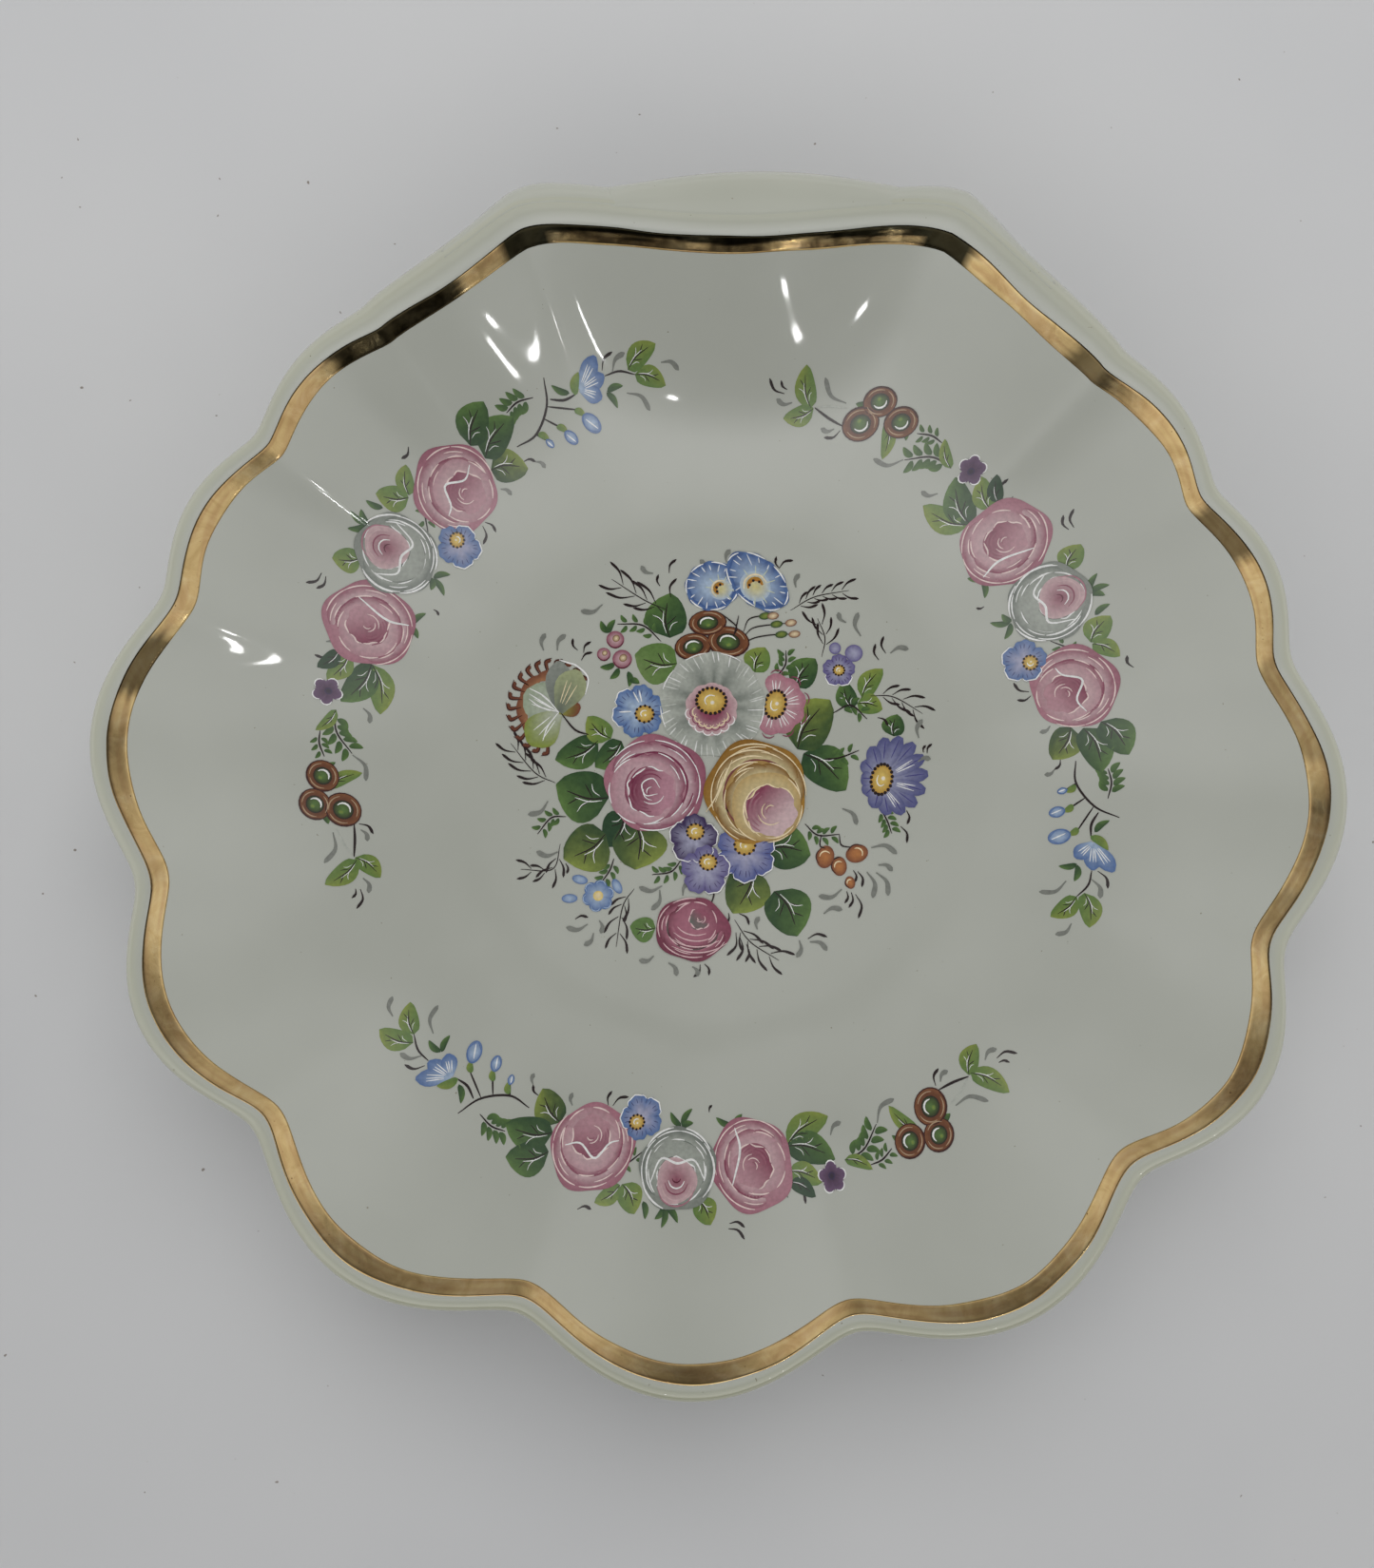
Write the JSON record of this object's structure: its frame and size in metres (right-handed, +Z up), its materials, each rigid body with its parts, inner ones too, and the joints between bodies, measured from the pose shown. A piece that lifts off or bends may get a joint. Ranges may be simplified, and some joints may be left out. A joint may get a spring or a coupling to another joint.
{
  "type": "serving bowl",
  "caption": "Shallow scallop-shell serving bowl in glazed porcelain with a gilt line inside the rim, flower transfers, a moulded hinge-end grip and a round foot ring.",
  "frame": {"origin": "centre of the bounding box's bottom face, on the plane that the foot ring rests on", "axes": "+Z up out of the bowl, +Y towards the hinge end with the grip and thumb lug, +X to the right of the hinge end seen from above"},
  "size_m": [0.2658, 0.2625, 0.052],
  "materials": {
    "glazed_porcelain": "clear gloss glaze over faintly green-grey white porcelain",
    "foot_porcelain": "glazed, with an unglazed ring where it rests",
    "gilding": "fired bright gold, brushed on by hand, slightly worn",
    "bouquet_enamel": "printed and hand-touched overglaze enamel flowers, glossy",
    "garland_enamel": "printed and hand-touched overglaze enamel flowers, glossy"
  },
  "bodies": {
    "root": {"bowl_shell": "glazed_porcelain", "foot_ring": "foot_porcelain", "hinge_grip": "glazed_porcelain", "thumb_lug": "glazed_porcelain", "gilt_line": "gilding", "bouquet_transfer": "bouquet_enamel", "garland_transfer_front": "garland_enamel", "garland_transfer_right": "garland_enamel", "garland_transfer_left": "garland_enamel"}
  },
  "joints": []
}
